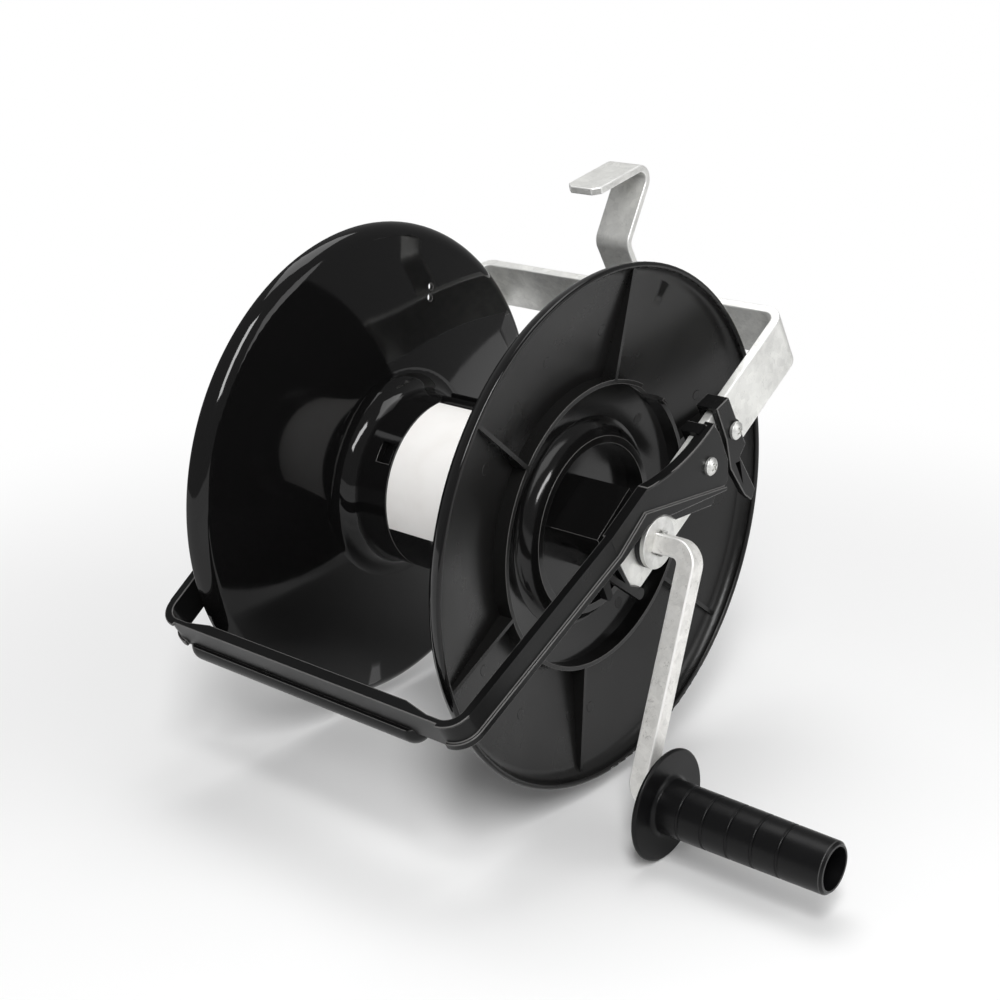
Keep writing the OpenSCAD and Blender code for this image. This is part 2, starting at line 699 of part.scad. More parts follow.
// Space that a leg, its screw and the turning washer take out of the handle
module leg_room() {
    clip = leg_clip - loose_gap;
    axial(leg_out - 2 * arm_depth) linear_extrude(2 * arm_depth) translate([-leg_tail - loose_gap, 0]) polygon([
        [0, clip - bar_half], [clip, -bar_half - loose_gap], [2 * plate_end, -bar_half - loose_gap],
        [2 * plate_end, bar_half + loose_gap], [clip, bar_half + loose_gap], [0, bar_half - clip]
    ]);
    axial() cylinder(d = washer_d + 2 * end_play, h = 2 * leg_out);
    axial() translate([handle_screw_at, 0]) cylinder(d = screw_d + 2 * loose_gap, h = 2 * leg_out);
    axial() translate(dip_at) cylinder(r = dip_r, h = 2 * leg_out, $fn = 180);
}

// Clasp over the leg's upper edge, with a cheek on its inner face
module leg_clasp() axial(leg_in - clasp_t) {
    linear_extrude(leg_out - leg_in + clasp_t + plate_t / 2) translate([clasp_at, bar_half + loose_gap])
        square([clasp_w, clasp_h]);
    linear_extrude(clasp_t - loose_gap) translate([clasp_at, bar_half - clasp_w])
        square([clasp_w, clasp_w + loose_gap + clasp_h]);
}

module handle() color("#141415") sloped() {
    difference() {
        union() {
            handle_channel();
            both_sides() bracket();
        }
        both_sides() leg_room();
    }
    both_sides() leg_clasp();
}

// Finger swell fixed along the lower edge of the crossbar
module finger_grip() color("#101011") sloped() translate([-finger_shift, -handle_reach, arm_rise]) difference() {
    low = -finger_low - arm_w / 2;
    straight = finger_l + 2 * finger_tip_cut - 2 * finger_r;
    intersection() {
        translate([0, finger_in, low]) rotate([0, 90, 0]) rotate_extrude() intersection() {
            translate([0, -finger_l / 2]) square([finger_r, finger_l]);
            union() {
                square([2 * finger_r, straight], center = true);
                for (side = [-1, 1]) translate([0, side * straight / 2]) circle(finger_r);
            }
        }
        translate([-finger_l, -finger_r, low - 2 * finger_r])
            cube([2 * finger_l, finger_r + arm_depth, 2 * finger_r + finger_ledge]);
    }
    translate([-finger_l, 0, -arm_w / 2]) cube([2 * finger_l, arm_depth + 1, arm_w]);
}

module handle_screws() color("gainsboro") sloped() both_sides() axial(handle_x)
    translate([handle_screw_at, 0]) pan_screw(plate_t + bar_t + nut_h + 1);

module handle_nuts() color("silver") sloped() both_sides() translate([leg_in, 0, 0]) mirror([1, 0, 0]) axial()
    translate([handle_screw_at, 0]) lock_nut_form();

// Lever that straddles the right leg's upper edge, with an open tail below
module lock_lever() color("#1c1c1e") sloped() axial() translate([lever_at, 0]) {
    front = lever_w * 0.41;
    rear = front - lever_w;
    saddle = bar_half + end_play;
    lift = lever_w * tan(lever_turn + 2);
    lid = [[rear, saddle + lift + lid_t], [front, saddle + lid_t], [front, saddle], [rear, saddle + lift]];
    difference() {
        translate([0, 0, lever_x]) linear_extrude(lever_t) {
            difference() {
                polygon([
                    lid[0], lid[1], [front, 4], [front + 0.5, -15], [-2.5, -17.5], [0, 3 - lever_tail],
                    [-5.6, -lever_tail], [-9, 8 - lever_tail], [rear - 5.5, -17], [rear - 1, 0]
                ]);
                polygon([[-7.4, -17.2], [-3.6, -19.5], [-7.5, 14 - lever_tail]]);
            }
            circle(sleeve_d / 2 + 2);
        }
        cylinder(d = sleeve_d + 2 * run_gap, h = 2 * lever_face);
    }
    translate([0, 0, leg_in - clasp_t]) linear_extrude(lever_face - leg_in + clasp_t) polygon(lid);
    translate([0, 0, leg_in - clasp_t]) linear_extrude(clasp_t - end_play)
        polygon([lid[0], lid[1], [front, nut_flats], [rear, nut_flats]]);
}

module lock_sleeve() color("silver") sloped() axial(leg_out) translate([lever_at, 0]) difference() {
    cylinder(d = sleeve_d, h = lever_t + 2 * end_play);
    translate([0, 0, -1]) cylinder(d = screw_d + 2 * loose_gap, h = 3 * lever_t);
}

module lock_screw() color("gainsboro") sloped() axial(lever_face + end_play) translate([lever_at, 0])
    pan_screw(lever_t + 2 * end_play + bar_t + nut_h + 1);

module lock_nut() color("silver") sloped() translate([leg_in, 0, 0]) mirror([1, 0, 0]) axial()
    translate([lever_at, 0]) lock_nut_form();

seat_origin() frame_bar();
seat_origin() hanging_hook();
seat_origin() handle();
seat_origin() finger_grip();
seat_origin() handle_screws();
seat_origin() handle_nuts();
seat_origin() reel_half_right();
seat_origin() reel_half_left();
seat_origin() drum_label();
seat_origin() crank_bar();
seat_origin() axle_spacers();
seat_origin() axle_bush_right();
seat_origin() axle_bush_left();
seat_origin() axle_washers();
seat_origin() spring_pins();
seat_origin() crank_grip();
seat_origin() grip_retainer();
seat_origin() lock_lever();
seat_origin() lock_sleeve();
seat_origin() lock_screw();
seat_origin() lock_nut();
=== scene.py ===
import bmesh
import bpy
import json
import math
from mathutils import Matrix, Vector
from mathutils.kdtree import KDTree

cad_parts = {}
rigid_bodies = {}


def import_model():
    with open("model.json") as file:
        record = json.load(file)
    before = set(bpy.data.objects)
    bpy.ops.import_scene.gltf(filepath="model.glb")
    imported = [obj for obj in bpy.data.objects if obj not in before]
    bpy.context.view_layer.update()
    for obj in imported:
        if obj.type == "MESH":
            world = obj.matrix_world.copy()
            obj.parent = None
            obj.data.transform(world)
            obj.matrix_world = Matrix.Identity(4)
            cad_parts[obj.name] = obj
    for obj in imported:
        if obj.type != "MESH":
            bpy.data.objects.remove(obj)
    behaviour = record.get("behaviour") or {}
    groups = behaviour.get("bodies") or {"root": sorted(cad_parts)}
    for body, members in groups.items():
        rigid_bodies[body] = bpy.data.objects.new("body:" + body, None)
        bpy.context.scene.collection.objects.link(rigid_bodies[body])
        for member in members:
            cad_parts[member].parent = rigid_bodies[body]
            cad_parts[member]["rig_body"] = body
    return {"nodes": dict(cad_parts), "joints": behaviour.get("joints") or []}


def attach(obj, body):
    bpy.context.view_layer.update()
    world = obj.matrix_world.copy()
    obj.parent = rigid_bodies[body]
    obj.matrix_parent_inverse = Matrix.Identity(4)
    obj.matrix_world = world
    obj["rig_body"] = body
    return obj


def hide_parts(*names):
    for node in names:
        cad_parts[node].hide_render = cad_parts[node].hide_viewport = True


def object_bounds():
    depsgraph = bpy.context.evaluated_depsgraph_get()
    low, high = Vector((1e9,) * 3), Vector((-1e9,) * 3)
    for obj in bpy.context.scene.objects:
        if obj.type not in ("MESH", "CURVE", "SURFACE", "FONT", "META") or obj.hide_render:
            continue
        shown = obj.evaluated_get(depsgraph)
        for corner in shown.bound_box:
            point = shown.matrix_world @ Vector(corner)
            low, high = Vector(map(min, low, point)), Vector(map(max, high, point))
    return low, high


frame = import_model()
cad_low, cad_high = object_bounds()
solids = frame["nodes"]
axle = Vector(next(j["pos_m"] for j in frame["joints"] if j["name"] == "reel_spin"))


# Steel frame: flat bar bent cold to two legs and a rear bar, with the hook bent from a narrower bar.
# Both are hot-dip galvanised after welding, so the zinc is pale and cloudy, duller in the rubbed places,
# and the rolled edges of the bar are slightly round.
def roomy_edges(edges, reach):
    """The edges among these whose faces and neighbours leave room for rounding at this reach."""
    face_room, side_room = 2.2 * reach, 1.4 * reach

    def wide(edge):
        start, along = edge.verts[0].co, (edge.verts[1].co - edge.verts[0].co).normalized()
        return all(max((v.co - start).cross(along).length for v in face.verts) > face_room
                   for face in edge.link_faces)

    kept = {e for e in edges if wide(e)}
    while True:
        tight = {e for e in kept for v in e.verts for other in v.link_edges
                 if other not in kept and other.calc_length() < side_room}
        if not tight:
            return [e for e in edges if e in kept]
        kept -= tight


def near_points(points):
    """A search tree over points."""
    tree = KDTree(len(points))
    for i, point in enumerate(points):
        tree.insert(point, i)
    tree.balance()
    return tree


def spoiled_points(bm):
    """Corners of triangles that are twisted against their own face, and of edges that are open."""
    least_area, least_dot = 1e-10, 0.6
    points = []
    for corners in bm.calc_loop_triangles():
        a, b, c = (loop.vert.co for loop in corners)
        lean = (b - a).cross(c - a)
        if lean.length > least_area and lean.dot(corners[0].face.normal) < least_dot * lean.length:
            points += [a.copy(), b.copy(), c.copy()]
    return points + [v.co.copy() for e in bm.edges if not e.is_manifold for v in e.verts]


def round_edges(plain, edges, reach):
    """A copy with these edges rounded, without those whose rounding would twist or open a face."""
    plain.normal_update()
    plain.edges.index_update()
    plain.edges.ensure_lookup_table()
    clear, same_place, far_away = 3 * reach, 1e-6, Vector((9, 9, 9))
    before = near_points(spoiled_points(plain) + [far_away])
    chosen = [e.index for e in edges if all(before.find(v.co)[2] > clear for v in e.verts)]
    while True:
        bm = plain.copy()
        bm.edges.ensure_lookup_table()
        rim = bmesh.ops.bevel(bm, geom=[bm.edges[i] for i in chosen], offset=reach, segments=2, profile=0.5,
                              affect="EDGES", clamp_overlap=False)
        bm.normal_update()
        spoiled = [point for point in spoiled_points(bm) if before.find(point)[2] > same_place]
        if not spoiled or not chosen:
            return bm, rim["faces"]
        faults = near_points(spoiled)
        kept = [i for i in chosen if all(faults.find(v.co)[2] > clear for v in plain.edges[i].verts)]
        chosen = kept if len(kept) < len(chosen) else []
        bm.free()


def set_normals(mesh, sharp, centre):
    """Corner normals: flat and turned faces are weighed by their area, turned ones only with each other, and each
    rounded edge runs from the normal on its one side to that on its other."""
    close, most_lean = math.cos(math.radians(sharp)), 0.25
    spun = Vector() if centre is None else centre
    outward = [Vector((0, v.co.y - spun.y, v.co.z - spun.z)).normalized() for v in mesh.vertices]
    touching = [[] for _ in mesh.vertices]
    faces = []
    for face in mesh.polygons:
        normal = face.normal.copy()
        middle = sum((outward[v] for v in face.vertices), Vector()).normalized()
        turned = centre is not None and abs(normal.z * middle.y - normal.y * middle.z) < most_lean
        radial = sum(normal.dot(outward[v]) for v in face.vertices) / len(face.vertices)
        on_edge = mesh.attributes["edge_wear_and_highlight"].data[face.loop_start].value > 0.5
        faces.append((normal, turned, radial, on_edge))
        for v in face.vertices:
            touching[v].append(face.index)

    def at(index, v):
        normal, turned, radial, _ = faces[index]
        return (Vector((normal.x, 0, 0)) + radial * outward[v] if turned else normal).normalized()

    normals = []
    for face in mesh.polygons:
        _, turned, _, rounded = faces[face.index]
        for v in face.vertices:
            own = at(face.index, v)
            plain = [i for i in touching[v] if not faces[i][3]]
            if rounded:
                kept = [max(plain, key=lambda i: at(i, v).dot(own))] if plain else touching[v]
            else:
                kept = [i for i in plain if faces[i][1] == turned and at(i, v).dot(own) > close]
            total = sum((at(i, v) * mesh.polygons[i].area for i in kept), Vector())
            normals.append(total.normalized() if total.length > 0 else own)
    mesh.normals_split_custom_set(normals)


def rounded_copy(node, name, edge_radius, sharp=28, centre=None, within=1.0):
    """A merged copy of a solid with its sharp edges rounded and marked for edge wear and painted edge highlight,
    riding where the solid rides.
    Where a centre is given, the solid is turned about an X axis through it, and only its outer edges that lie
    within a radius are rounded."""
    def rounds(edge):
        if not edge.is_manifold or edge.calc_face_angle(0) < math.radians(sharp):
            return False
        if centre is None:
            return True
        return edge.is_convex and all(math.hypot(v.co.y - centre.y, v.co.z - centre.z) < within for v in edge.verts)

    same_point, same_plane = 2e-6, math.radians(0.02)
    bm = bmesh.new()
    bm.from_mesh(solids[node].data)
    bmesh.ops.remove_doubles(bm, verts=bm.verts, dist=same_point)
    bm.loops.layers.float.new("edge_wear_and_highlight")
    if edge_radius:
        bmesh.ops.dissolve_limit(bm, angle_limit=same_plane, verts=bm.verts, edges=bm.edges)
        edges = roomy_edges([e for e in bm.edges if rounds(e)], edge_radius)
        bm, rim = round_edges(bm, edges, edge_radius)
        # The rounded faces are marked; the finishes paint them as zinc wear or as a paler highlight on plastic.
        edge_wear_and_highlight = bm.loops.layers.float["edge_wear_and_highlight"]
        for face in rim:
            for loop in face.loops:
                loop[edge_wear_and_highlight] = 1.0
    mesh = bpy.data.meshes.new(name)
    bm.to_mesh(mesh)
    bm.free()
    if "custom_normal" in mesh.attributes:
        mesh.attributes.remove(mesh.attributes["custom_normal"])
    mesh.shade_smooth()
    set_normals(mesh, sharp, centre)
    piece = bpy.data.objects.new(name, mesh)
    bpy.context.scene.collection.objects.link(piece)
    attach(piece, solids[node]["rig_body"])
    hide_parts(node)
    return piece


def dress(node, name, finish, slot, edge_radius, **turned):
    """A solid's rounded copy, in its finish. The slot is not used."""
    piece = rounded_copy(node, name, edge_radius, **turned)
    piece.data.materials.append(finish)
    return piece


def new_finish(name, **sockets):
    """A material with its shader's plain sockets set, and its node tree's parts."""
    material = bpy.data.materials.new(name)
    material.use_nodes = True
    shader = material.node_tree.nodes["Principled BSDF"]
    for socket, value in sockets.items():
        shader.inputs[socket.replace("_", " ")].default_value = value
    return material, material.node_tree, shader


def new_effect(name, inputs, outputs):
    """An empty shader group with named number and colour sockets."""
    group = bpy.data.node_groups.new(name, "ShaderNodeTree")
    for label, value in inputs.items():
        kind = "NodeSocketColor" if isinstance(value, tuple) else "NodeSocketFloat"
        group.interface.new_socket(label, in_out="INPUT", socket_type=kind).default_value = value
    for label, kind in outputs.items():
        group.interface.new_socket(label, in_out="OUTPUT", socket_type="NodeSocket" + kind)
    return group, group.nodes.new("NodeGroupInput"), group.nodes.new("NodeGroupOutput")


def put(tree, kind, inputs=None, **settings):
    """A node with its settings, and its inputs set to values or joined to other nodes' outputs."""
    node = tree.nodes.new(kind)
    for setting, value in settings.items():
        setattr(node, setting, value)
    for key, value in (inputs or {}).items():
        if isinstance(value, bpy.types.NodeSocket):
            tree.links.new(value, node.inputs[key])
        else:
            node.inputs[key].default_value = value
    return node


def calc(tree, operation, *values):
    """The outcome of a sum on values or on other nodes' outputs."""
    return put(tree, "ShaderNodeMath", dict(enumerate(values)), operation=operation).outputs[0]


def ramp(tree, fac, low, high):
    """A smooth step of a value from 0 at low to 1 at high."""
    return put(tree, "ShaderNodeMapRange", {0: fac, 1: low, 2: high}, interpolation_type="SMOOTHSTEP").outputs[0]


def mixed(tree, fac, a, b):
    """A colour between a and b."""
    return put(tree, "ShaderNodeMix", {0: fac, 6: a, 7: b}, data_type="RGBA").outputs[2]


zinc_bloom, zin, zout = new_effect(
    "zinc_bloom", {"Pale": (0.8, 0.8, 0.78, 1), "Dull": (0.5, 0.5, 0.49, 1), "Cloud size": 40.0, "Scuffs": 0.5,
                   "Scratch": (0.4, 0.4, 0.39, 1)},
    {"Color": "Color", "Roughness": "Float", "Height": "Float"})
place = put(zinc_bloom, "ShaderNodeTexCoord").outputs["Object"]
clouds = put(zinc_bloom, "ShaderNodeTexNoise", {"Vector": place, "Scale": zin.outputs["Cloud size"], "Detail": 5.0,
                                               "Roughness": 0.62}).outputs["Fac"]
spangle = put(zinc_bloom, "ShaderNodeTexVoronoi", {"Vector": place, "Scale": 260.0}).outputs["Color"]
flecks = put(zinc_bloom, "ShaderNodeTexNoise", {"Vector": place, "Scale": 420.0, "Detail": 3.0}).outputs["Fac"]
rubbed = put(zinc_bloom, "ShaderNodeTexNoise", {"Vector": place, "Scale": 95.0, "Detail": 8.0, "Roughness": 0.75,
                                               "Distortion": 1.4}).outputs["Fac"]
strands = put(zinc_bloom, "ShaderNodeTexNoise", {"Vector": place, "Scale": 130.0, "Detail": 3.0, "Roughness": 0.6,
                                                "Distortion": 2.2}).outputs["Fac"]
off_line = calc(zinc_bloom, "ABSOLUTE", calc(zinc_bloom, "SUBTRACT", strands, 0.5))
hairs = calc(zinc_bloom, "SUBTRACT", 1.0, ramp(zinc_bloom, off_line, 0.002, 0.012))
scratch = calc(zinc_bloom, "MULTIPLY", hairs, ramp(zinc_bloom, rubbed, 0.46, 0.6))
marked = calc(zinc_bloom, "MAXIMUM", ramp(zinc_bloom, rubbed, 0.56, 0.74), scratch)
scuff = calc(zinc_bloom, "MULTIPLY", marked, zin.outputs["Scuffs"])
cloudy = mixed(zinc_bloom, ramp(zinc_bloom, clouds, 0.38, 0.78), zin.outputs["Pale"], zin.outputs["Dull"])
bright = put(zinc_bloom, "ShaderNodeSeparateColor", {0: spangle}).outputs[0]
patched = put(zinc_bloom, "ShaderNodeMapRange", {0: bright, 3: 0.93, 4: 1.05}).outputs[0]
toned = put(zinc_bloom, "ShaderNodeVectorMath", {0: cloudy, 1: patched}, operation="MULTIPLY").outputs[0]
zinc_bloom.links.new(mixed(zinc_bloom, scuff, toned, zin.outputs["Scratch"]), zout.inputs["Color"])
dulled = put(zinc_bloom, "ShaderNodeMapRange", {0: clouds, 1: 0.3, 2: 0.7, 3: 0.34, 4: 0.52}).outputs[0]
zinc_bloom.links.new(calc(zinc_bloom, "MULTIPLY_ADD", scuff, 0.12, dulled), zout.inputs["Roughness"])
zinc_bloom.links.new(calc(zinc_bloom, "MULTIPLY_ADD", flecks, 0.35, clouds), zout.inputs["Height"])


def zinc_finish(name, pale, dull, scratch, cloud_size, scuffs, edge, relief, metal):
    """Galvanised or zinc-plated steel with brighter worn edges."""
    material, tree, shader = new_finish(name, Metallic=metal)
    bloom = put(tree, "ShaderNodeGroup", {}, node_tree=zinc_bloom)
    wear = {"Pale": pale, "Dull": dull, "Scratch": scratch, "Cloud size": cloud_size, "Scuffs": scuffs}
    for socket, value in wear.items():
        bloom.inputs[socket].default_value = value
    edge_wear_and_highlight = put(tree, "ShaderNodeAttribute", {}, attribute_name="edge_wear_and_highlight").outputs["Fac"]
    tree.links.new(mixed(tree, edge_wear_and_highlight, bloom.outputs["Color"], edge), shader.inputs["Base Color"])
    tree.links.new(bloom.outputs["Roughness"], shader.inputs["Roughness"])
    bump = put(tree, "ShaderNodeBump", {"Height": bloom.outputs["Height"], "Strength": 0.35, "Distance": relief})
    tree.links.new(bump.outputs[0], shader.inputs["Normal"])
    return material


galvanised = zinc_finish("galvanised_bar", pale=(0.88, 0.88, 0.85, 1), dull=(0.7, 0.7, 0.68, 1),
                         scratch=(0.5, 0.5, 0.48, 1), cloud_size=60.0, scuffs=0.55,
                         edge=(0.92, 0.92, 0.9, 1), relief=0.0003, metal=0.58)
dress("frame_bar", "bent_frame_bar", galvanised, "galvanised_steel", edge_radius=0.0008)
dress("hanging_hook", "bent_hook", galvanised, "galvanised_steel", edge_radius=0.0007)


# Welds: two rippled beads, laid along both sides of the hook where it laps the rear bar's outer face.
# They are steel run on by hand before the frame is dipped, so the same zinc covers them.
def new_growth(name, sizes):
    """An empty Geometry Nodes tree that takes seeds and gives a mesh, with its sizes as named inputs."""
    tree = bpy.data.node_groups.new(name, "GeometryNodeTree")
    tree.interface.new_socket("Seeds", in_out="INPUT", socket_type="NodeSocketGeometry")
    tree.interface.new_socket("Mesh", in_out="OUTPUT", socket_type="NodeSocketGeometry")
    for label, value in sizes.items():
        tree.interface.new_socket(label, in_out="INPUT", socket_type="NodeSocketFloat").default_value = value
    return tree, tree.nodes.new("NodeGroupInput"), tree.nodes.new("NodeGroupOutput")


def grow(name, tree, seeds, sizes, body):
    """A plain mesh piece that a tree grows on a seed mesh, riding on a body."""
    piece = bpy.data.objects.new(name, seeds)
    bpy.context.scene.collection.objects.link(piece)
    growth = piece.modifiers.new("growth", "NODES")
    growth.node_group = tree
    for socket in tree.interface.items_tree:
        if socket.name in sizes:
            growth[socket.identifier] = sizes[socket.name]
    view = bpy.context.evaluated_depsgraph_get()
    mesh = bpy.data.meshes.new_from_object(piece.evaluated_get(view), depsgraph=view)
    piece.modifiers.remove(growth)
    piece.data = mesh
    mesh.name = name
    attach(piece, body)
    return piece


weld_tree, given, grown = new_growth("weld_bead", {"Bead radius": 0.002, "Ripple pitch": 0.0004, "Ripple": 0.1})
wave_step = 1.3
run = put(weld_tree, "GeometryNodeMeshToCurve", {0: given.outputs["Seeds"]})
run = put(weld_tree, "GeometryNodeResampleCurve",
          {"Curve": run.outputs[0], "Length": given.outputs["Ripple pitch"]}, mode="LENGTH")
count = put(weld_tree, "GeometryNodeInputIndex").outputs[0]
wave = calc(weld_tree, "SINE", calc(weld_tree, "MULTIPLY", count, wave_step))
swell = calc(weld_tree, "MULTIPLY_ADD", wave, given.outputs["Ripple"], 1.0)
ring = put(weld_tree, "GeometryNodeCurvePrimitiveCircle",
           {"Resolution": 12, "Radius": given.outputs["Bead radius"]})
bead = put(weld_tree, "GeometryNodeCurveToMesh",
           {"Curve": run.outputs[0], "Profile Curve": ring.outputs[0], "Scale": swell, "Fill Caps": True})
bead = put(weld_tree, "GeometryNodeSetShadeSmooth", {0: bead.outputs[0]})
bead = put(weld_tree, "GeometryNodeRealizeInstances", {0: bead.outputs[0]})
bead = put(weld_tree, "GeometryNodeSetMaterial", {0: bead.outputs[0], "Material": galvanised})
weld_tree.links.new(bead.outputs[0], grown.inputs["Mesh"])

slope, bar_back, hook_half, weld_low, weld_high = math.radians(32), 0.153, 0.011, -0.006, 0.0145
along_bar, up_bar = Vector((0, math.cos(slope), math.sin(slope))), Vector((0, -math.sin(slope), math.cos(slope)))
ends = [axle + along_bar * bar_back + up_bar * b + Vector((side * hook_half, 0, 0))
        for side in (-1, 1) for b in (weld_low, weld_high)]
weld_lines = bpy.data.meshes.new("weld_lines")
weld_lines.from_pydata(ends, [(0, 1), (2, 3)], [])
grow("hook_weld_beads", weld_tree, weld_lines, {"Bead radius": 0.0021, "Ripple": 0.05}, "frame")


# Reel: two flanged halves moulded in black plastic, snapped together at a seam on the drum.
# The mould is polished on the winding side, so that the line slides, and finely eroded on the outside,
# so that the ribbed outer faces are satin. The marks of the ejector pins stand beside the ribs.
web_start, web_foot, web_slope, web_wall = 0.0465, 0.059, math.radians(10.6), 0.0025
ring_inside, roll_start, hub_satin = 0.0731, 0.117, 0.35

moulded_grain, gin, gout = new_effect(
    "moulded_grain", {"Grain size": 1400.0, "Cloud size": 30.0},
    {"Height": "Float", "Clouds": "Float", "Dust": "Float", "Waves": "Float"})
place = put(moulded_grain, "ShaderNodeTexCoord").outputs["Object"]
grain = put(moulded_grain, "ShaderNodeTexNoise",
            {"Vector": place, "Scale": gin.outputs["Grain size"], "Detail": 2.0})
cloud = put(moulded_grain, "ShaderNodeTexNoise",
            {"Vector": place, "Scale": gin.outputs["Cloud size"], "Detail": 4.0})
dust = put(moulded_grain, "ShaderNodeTexNoise", {"Vector": place, "Scale": 620.0, "Detail": 6.0, "Roughness": 0.7})
moulded_grain.links.new(grain.outputs["Fac"], gout.inputs["Height"])
moulded_grain.links.new(cloud.outputs["Fac"], gout.inputs["Clouds"])
moulded_grain.links.new(ramp(moulded_grain, dust.outputs["Fac"], 0.6, 0.8), gout.inputs["Dust"])
waves = put(moulded_grain, "ShaderNodeTexNoise", {"Vector": place, "Scale": 75.0, "Detail": 1.5})
moulded_grain.links.new(waves.outputs["Fac"], gout.inputs["Waves"])


def cloudy_roughness(tree, grained, smooth, rough):
    """A roughness that drifts between two values with the moulding's clouds."""
    return put(tree, "ShaderNodeMapRange",
               {0: grained.outputs["Clouds"], 1: 0.3, 2: 0.7, 3: smooth, 4: rough}).outputs[0]


def moulded_finish(name, black, edge, smooth, rough, grain_size, relief, dusty=0.0):
    """Black moulded plastic: fine grain, cloudy sheen, a little dust, and a paler colour along its rounded edges
    that is a painted highlight.
    """
    material, tree, shader = new_finish(name, IOR=1.49, Specular_IOR_Level=0.2)
    grained = put(tree, "ShaderNodeGroup", {}, node_tree=moulded_grain)
    grained.inputs["Grain size"].default_value = grain_size
    edge_wear_and_highlight = put(tree, "ShaderNodeAttribute", {}, attribute_name="edge_wear_and_highlight").outputs["Fac"]
    dust_grey, worn_roughness = (0.2, 0.2, 0.19, 1), 0.2
    dusted = mixed(tree, calc(tree, "MULTIPLY", grained.outputs["Dust"], dusty), black, dust_grey)
    # The edge colour on the rounded edges is a painted highlight.
    tree.links.new(mixed(tree, edge_wear_and_highlight, dusted, edge), shader.inputs["Base Color"])
    sheen = cloudy_roughness(tree, grained, smooth, rough)
    rubbed = put(tree, "ShaderNodeMix", {0: edge_wear_and_highlight, 2: sheen, 3: worn_roughness}, data_type="FLOAT").outputs[0]
    tree.links.new(rubbed, shader.inputs["Roughness"])
    bump = put(tree, "ShaderNodeBump", {"Height": grained.outputs["Height"], "Strength": 0.3, "Distance": relief})
    tree.links.new(bump.outputs[0], shader.inputs["Normal"])
    return material


def reel_finish(name):
    """The reel's black plastic: polished on the winding side, satin outside, by its faces' satin value."""
    material, tree, shader = new_finish(name, IOR=1.5, Specular_IOR_Level=0.32)
    grained = put(tree, "ShaderNodeGroup", {}, node_tree=moulded_grain)
    satin = put(tree, "ShaderNodeAttribute", {}, attribute_name="satin").outputs["Fac"]
    edge_wear_and_highlight = put(tree, "ShaderNodeAttribute", {}, attribute_name="edge_wear_and_highlight").outputs["Fac"]
    polished_black, satin_black = (0.005, 0.0049, 0.005, 1), (0.0085, 0.0083, 0.0081, 1)
    # The grey on the rounded edges is a painted highlight.
    painted_highlight_grey = (0.09, 0.088, 0.086, 1)
    black = mixed(tree, satin, polished_black, satin_black)
    tree.links.new(mixed(tree, edge_wear_and_highlight, black, painted_highlight_grey), shader.inputs["Base Color"])
    sheen = cloudy_roughness(tree, grained, 0.25, 0.34)
    polish = cloudy_roughness(tree, grained, 0.04, 0.08)
    blend = put(tree, "ShaderNodeMix", {0: satin, 2: polish, 3: sheen}, data_type="FLOAT").outputs[0]
    tree.links.new(blend, shader.inputs["Roughness"])
    wave_share = 0.5
    depth = calc(tree, "MULTIPLY", grained.outputs["Height"], satin)
    depth = calc(tree, "MULTIPLY_ADD", grained.outputs["Waves"], wave_share, depth)
    bump = put(tree, "ShaderNodeBump", {"Height": depth, "Strength": 0.25, "Distance": 0.00012})
    tree.links.new(bump.outputs[0], shader.inputs["Normal"])
    return material


def mark_satin(mesh):
    """Gives each face its finish: 0 polished where the line runs, 1 satin outside, between them round the hub."""
    satin = mesh.attributes.new("satin", "FLOAT", "FACE")
    roll_out, roll_in, roll_limit, drum_limit = 0.85, 0.5, 0.05, 0.1
    values = []
    for face in mesh.polygons:
        out = Vector((0, face.center.y - axle.y, face.center.z - axle.z))
        radius, side = out.length, math.copysign(1, face.center.x)
        out.normalize()
        web = web_foot + (radius - web_start) * math.tan(web_slope)
        inner = abs(face.center.x) < web + web_wall / 4
        roll_way = roll_out * out - Vector((roll_in * side, 0, 0))
        rolled = radius > roll_start and face.normal.dot(roll_way) > roll_limit
        on_drum = radius < web_start and face.normal.dot(out) > drum_limit
        if rolled or inner and (radius >= web_start or on_drum):
            values.append(0.0)
        else:
            values.append(hub_satin if radius < ring_inside else 1.0)
    satin.data.foreach_set("value", values)


reel_black = reel_finish("reel_moulding")
for node, name in (("reel_half_right", "flanged_half_right"), ("reel_half_left", "flanged_half_left")):
    half = dress(node, name, reel_black, "reel_plastic", edge_radius=0.00025,
                 sharp=24, centre=axle, within=roll_start)
    mark_satin(half.data)

mark_tree, given, grown = new_growth("ejector_mark",
                                     {"Mark radius": 0.003, "Step width": 0.0005, "Step height": 0.0003})
top = calc(mark_tree, "SUBTRACT", given.outputs["Mark radius"], given.outputs["Step width"])
disc = put(mark_tree, "GeometryNodeMeshCone",
           {"Vertices": 28, "Radius Top": top, "Radius Bottom": given.outputs["Mark radius"],
            "Depth": given.outputs["Step height"]})
facing = put(mark_tree, "GeometryNodeInputNamedAttribute", {"Name": "facing"}, data_type="FLOAT_VECTOR")
turn = put(mark_tree, "FunctionNodeAlignRotationToVector", {"Vector": facing.outputs[0]}, axis="Z")
spots = put(mark_tree, "GeometryNodeMeshToPoints", {0: given.outputs["Seeds"]})
discs = put(mark_tree, "GeometryNodeInstanceOnPoints",
            {"Points": spots.outputs[0], "Instance": disc.outputs["Mesh"], "Rotation": turn.outputs[0]})
discs = put(mark_tree, "GeometryNodeRealizeInstances", {0: discs.outputs[0]})
discs = put(mark_tree, "GeometryNodeStoreNamedAttribute", {0: discs.outputs[0], "Name": "satin", "Value": 1.0},
            data_type="FLOAT", domain="FACE")
discs = put(mark_tree, "GeometryNodeSetMaterial", {0: discs.outputs[0], "Material": reel_black})
mark_tree.links.new(discs.outputs[0], grown.inputs["Mesh"])

